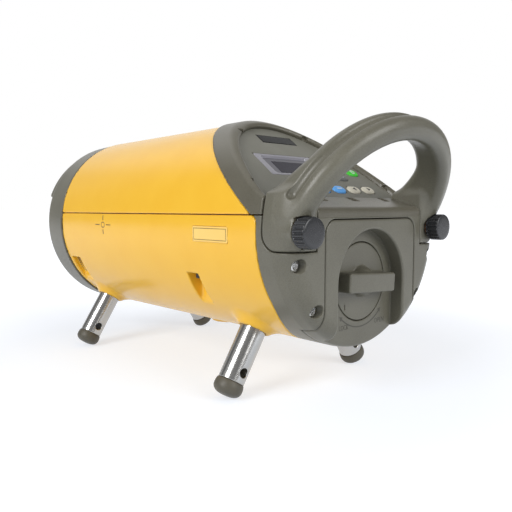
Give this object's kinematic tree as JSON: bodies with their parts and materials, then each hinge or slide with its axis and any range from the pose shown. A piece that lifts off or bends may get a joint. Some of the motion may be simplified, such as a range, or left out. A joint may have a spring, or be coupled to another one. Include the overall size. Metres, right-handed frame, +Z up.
{
  "type": "pipe laser",
  "caption": "Round-bodied pipe laser on screw-in legs, with a slanted control panel, a carrying handle, a locking battery drawer and a laser on a two-axis gimbal behind a front window.",
  "frame": {"origin": "on the floor under the middle of the object's length, at the plane of symmetry", "axes": "+Y along the body's axis to the window and the beam, +X to the right seen from the rear, +Z up"},
  "size_m": [0.124, 0.2918, 0.1518],
  "materials": {
    "yellow_shell": "fine-grained moulded plastic",
    "grey_case": "fine-grained moulded plastic",
    "dark_rubber": "soft black seal",
    "steel": "plain stainless steel",
    "leg_steel": "turned stainless steel",
    "foot_rubber": "grey-brown rubber",
    "clear_glass": "clear coated glass",
    "light_alloy": "machined",
    "dark_alloy": "black anodised",
    "brass": "turned brass",
    "label": "plain satin film",
    "panel_face": "satin panel film",
    "display": "grey liquid crystal behind a clear pane",
    "dark_window": "dark infrared window",
    "black_plastic": "moulded plastic",
    "circuit_board": "solder mask",
    "green_key": "silicone rubber",
    "grey_key": "silicone rubber",
    "white_key": "silicone rubber",
    "blue_key": "silicone rubber",
    "cells": "wrapped cell cans",
    "washer": "orange-brown washer"
  },
  "bodies": {
    "body": {"upper_shell": "yellow_shell", "lower_shell": "yellow_shell", "seam_gasket": "dark_rubber", "shell_screws": "steel", "front_cap": "grey_case", "window_ring": "grey_case", "window_glass": "clear_glass", "window_seal": "dark_rubber", "front_bulkhead": "light_alloy", "case_screws": "steel", "label_plate": "label", "mount_insert": "brass", "rear_housing": "grey_case", "panel_frame": "grey_case", "panel_plate": "panel_face", "display_window": "display", "sensor_window": "dark_window", "display_module": "black_plastic", "keypad_board": "circuit_board", "battery_bay": "black_plastic", "battery_contacts": "brass", "gimbal_base": "light_alloy", "line_pins": "steel", "grade_actuator": "dark_alloy", "line_actuator": "dark_alloy", "main_board": "circuit_board"},
    "row_key_1": {"row_key_1": "white_key"},
    "row_key_2": {"row_key_2": "white_key"},
    "row_key_3": {"row_key_3": "blue_key"},
    "row_key_4": {"row_key_4": "blue_key"},
    "row_key_5": {"row_key_5": "white_key"},
    "row_key_6": {"row_key_6": "white_key"},
    "power_key": {"power_key": "green_key"},
    "arrow_key": {"arrow_key": "grey_key"},
    "drawer": {"battery_door": "grey_case", "door_gasket": "dark_rubber", "battery_tray": "black_plastic", "battery_cells": "cells"},
    "lock": {"lock_knob": "grey_case", "lock_cam": "steel"},
    "handle": {"handle": "grey_case", "thumb_washers": "washer"},
    "left_thumb": {"left_thumb_screw": "black_plastic"},
    "right_thumb": {"right_thumb_screw": "black_plastic"},
    "rear_left_leg_unit": {"rear_left_leg": "leg_steel", "rear_left_foot": "foot_rubber"},
    "rear_right_leg_unit": {"rear_right_leg": "leg_steel", "rear_right_foot": "foot_rubber"},
    "front_left_leg_unit": {"front_left_leg": "leg_steel", "front_left_foot": "foot_rubber"},
    "front_right_leg_unit": {"front_right_leg": "leg_steel", "front_right_foot": "foot_rubber"},
    "line_gimbal": {"line_frame": "light_alloy"},
    "laser": {"laser_barrel": "dark_alloy", "grade_pins": "steel", "collimator_lens": "clear_glass", "laser_diode": "brass", "level_sensor": "circuit_board"},
    "grade_push": {"grade_plunger": "steel"},
    "line_push": {"line_plunger": "steel"}
  },
  "joints": [
    {"name": "row_key_1_press", "type": "slide", "parent": "body", "child": "row_key_1", "axis": [0, 0.599, -0.8007], "range_m": [0, 0.0007], "stiffness_N_per_m": 1500},
    {"name": "row_key_2_press", "type": "slide", "parent": "body", "child": "row_key_2", "axis": [0, 0.599, -0.8007], "range_m": [0, 0.0007], "stiffness_N_per_m": 1500},
    {"name": "row_key_3_press", "type": "slide", "parent": "body", "child": "row_key_3", "axis": [0, 0.599, -0.8007], "range_m": [0, 0.0007], "stiffness_N_per_m": 1500},
    {"name": "row_key_4_press", "type": "slide", "parent": "body", "child": "row_key_4", "axis": [0, 0.599, -0.8007], "range_m": [0, 0.0007], "stiffness_N_per_m": 1500},
    {"name": "row_key_5_press", "type": "slide", "parent": "body", "child": "row_key_5", "axis": [0, 0.599, -0.8007], "range_m": [0, 0.0007], "stiffness_N_per_m": 1500},
    {"name": "row_key_6_press", "type": "slide", "parent": "body", "child": "row_key_6", "axis": [0, 0.599, -0.8007], "range_m": [0, 0.0007], "stiffness_N_per_m": 1500},
    {"name": "power_key_press", "type": "slide", "parent": "body", "child": "power_key", "axis": [0, 0.599, -0.8007], "range_m": [0, 0.0007], "stiffness_N_per_m": 1500},
    {"name": "arrow_key_press", "type": "slide", "parent": "body", "child": "arrow_key", "axis": [0, 0.599, -0.8007], "range_m": [0, 0.0007], "stiffness_N_per_m": 1500},
    {"name": "drawer_slide", "type": "slide", "parent": "body", "child": "drawer", "axis": [0, -1, 0], "range_m": [0, 0.13]},
    {"name": "lock_turn", "type": "hinge", "parent": "drawer", "child": "lock", "pos_m": [0, -0.11065, 0.06149], "axis": [0, -1, 0], "range_deg": [0, 90]},
    {"name": "handle_slide", "type": "slide", "parent": "body", "child": "handle", "axis": [0, -1, 0], "range_m": [0, 0.04]},
    {"name": "left_thumb_turn", "type": "hinge", "parent": "handle", "child": "left_thumb", "pos_m": [-0.0539, -0.11865, 0.08849], "axis": [0, -1, 0], "continuous": true},
    {"name": "right_thumb_turn", "type": "hinge", "parent": "handle", "child": "right_thumb", "pos_m": [0.0539, -0.11865, 0.08849], "axis": [0, -1, 0], "continuous": true},
    {"name": "rear_left_leg_turn", "type": "hinge", "parent": "body", "child": "rear_left_leg_unit", "pos_m": [-0.03751, -0.06565, 0.02909], "axis": [-0.5358, 0, -0.8443], "continuous": true},
    {"name": "rear_right_leg_turn", "type": "hinge", "parent": "body", "child": "rear_right_leg_unit", "pos_m": [0.03751, -0.06565, 0.02909], "axis": [0.5358, 0, -0.8443], "continuous": true},
    {"name": "front_left_leg_turn", "type": "hinge", "parent": "body", "child": "front_left_leg_unit", "pos_m": [-0.03751, 0.09335, 0.02909], "axis": [-0.5358, 0, -0.8443], "continuous": true},
    {"name": "front_right_leg_turn", "type": "hinge", "parent": "body", "child": "front_right_leg_unit", "pos_m": [0.03751, 0.09335, 0.02909], "axis": [0.5358, 0, -0.8443], "continuous": true},
    {"name": "line_turn", "type": "hinge", "parent": "body", "child": "line_gimbal", "pos_m": [0, 0.08335, 0.08819], "axis": [0, 0, 1], "range_deg": [-8, 8]},
    {"name": "grade_tilt", "type": "hinge", "parent": "line_gimbal", "child": "laser", "pos_m": [0, 0.08335, 0.08819], "axis": [1, 0, 0], "range_deg": [-8.53, 21.8]},
    {"name": "grade_drive", "type": "slide", "parent": "body", "child": "grade_push", "axis": [0, 0, 1], "range_m": [-0.014, 0.0056]},
    {"name": "line_drive", "type": "slide", "parent": "body", "child": "line_push", "axis": [1, 0, 0], "range_m": [-0.0041, 0.0041]}
  ],
  "couplings": [
    {"joint": "grade_drive", "follows": "grade_tilt", "m_per_rad": -0.03495},
    {"joint": "line_drive", "follows": "line_turn", "m_per_rad": 0.02865}
  ]
}
